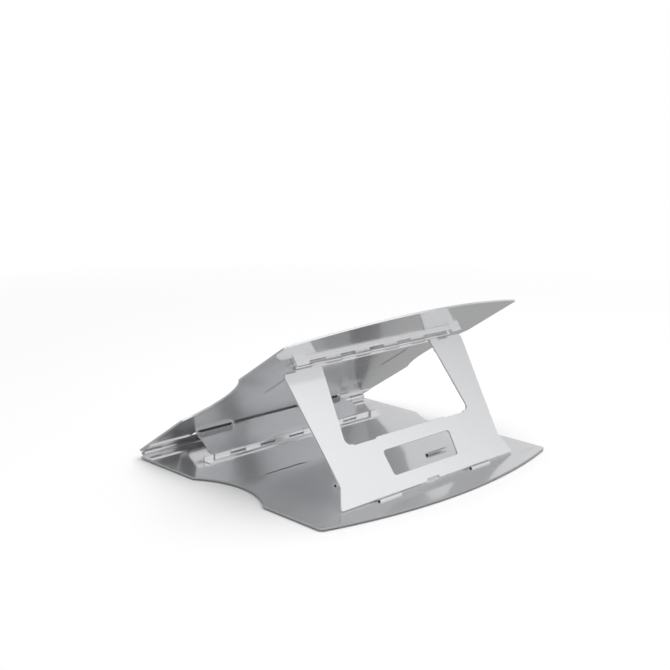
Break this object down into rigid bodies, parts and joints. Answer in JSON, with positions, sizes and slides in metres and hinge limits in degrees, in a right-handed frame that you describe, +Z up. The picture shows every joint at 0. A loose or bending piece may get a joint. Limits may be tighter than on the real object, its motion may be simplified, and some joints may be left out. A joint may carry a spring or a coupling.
{
  "type": "laptop stand",
  "caption": "Folding sheet-metal laptop stand: a hinged top plate held at an angle by a U-shaped strut, with a front stop flap.",
  "frame": {"origin": "on the table, under the middle of the stand's outline as it stands open", "axes": "+Z up, +Y towards the raised back edge, X across the width; the front hinge is on the -Y side"},
  "size_m": [0.27, 0.232, 0.1363],
  "materials": {
    "sheet_aluminium": "satin, nearly mirror",
    "hinge_steel": "polished",
    "pin_steel": "drawn wire",
    "rubber": "matte black"
  },
  "bodies": {
    "base": {"base_plate": "sheet_aluminium", "front_hinge_lower_leaf": "hinge_steel", "front_hinge_pin": "pin_steel", "flap_hinge_lower_leaf": "hinge_steel", "flap_hinge_pin": "pin_steel", "foot_front_left": "rubber", "foot_back_left": "rubber", "foot_front_right": "rubber", "foot_back_right": "rubber"},
    "top": {"top_plate": "sheet_aluminium", "front_hinge_upper_leaf": "hinge_steel", "strut_hinge_upper_leaf": "hinge_steel", "strut_hinge_pin": "pin_steel", "grip_front_left": "rubber", "grip_back_left": "rubber", "grip_front_right": "rubber", "grip_back_right": "rubber"},
    "strut": {"support_strut": "sheet_aluminium", "strut_hinge_lower_leaf": "hinge_steel"},
    "flap": {"stop_flap": "sheet_aluminium", "flap_hinge_upper_leaf": "hinge_steel", "stop_pad_left": "rubber", "stop_pad_right": "rubber"}
  },
  "joints": [
    {"name": "top_plate_tilt", "type": "hinge", "parent": "base", "child": "top", "pos_m": [0, -0.11265, 0.00505], "axis": [1, 0, 0], "range_deg": [0, 60]},
    {"name": "strut_swing", "type": "hinge", "parent": "top", "child": "strut", "pos_m": [0, 0.02314, 0.09594], "axis": [1, 0, 0], "range_deg": [-90, 0]},
    {"name": "stop_flap_fold", "type": "hinge", "parent": "base", "child": "flap", "pos_m": [0, -0.06985, 0.00505], "axis": [1, 0, 0], "range_deg": [0, 16]}
  ],
  "couplings": [
    {"joint": "strut_swing", "follows": "top_plate_tilt", "ratio": -1.49}
  ]
}
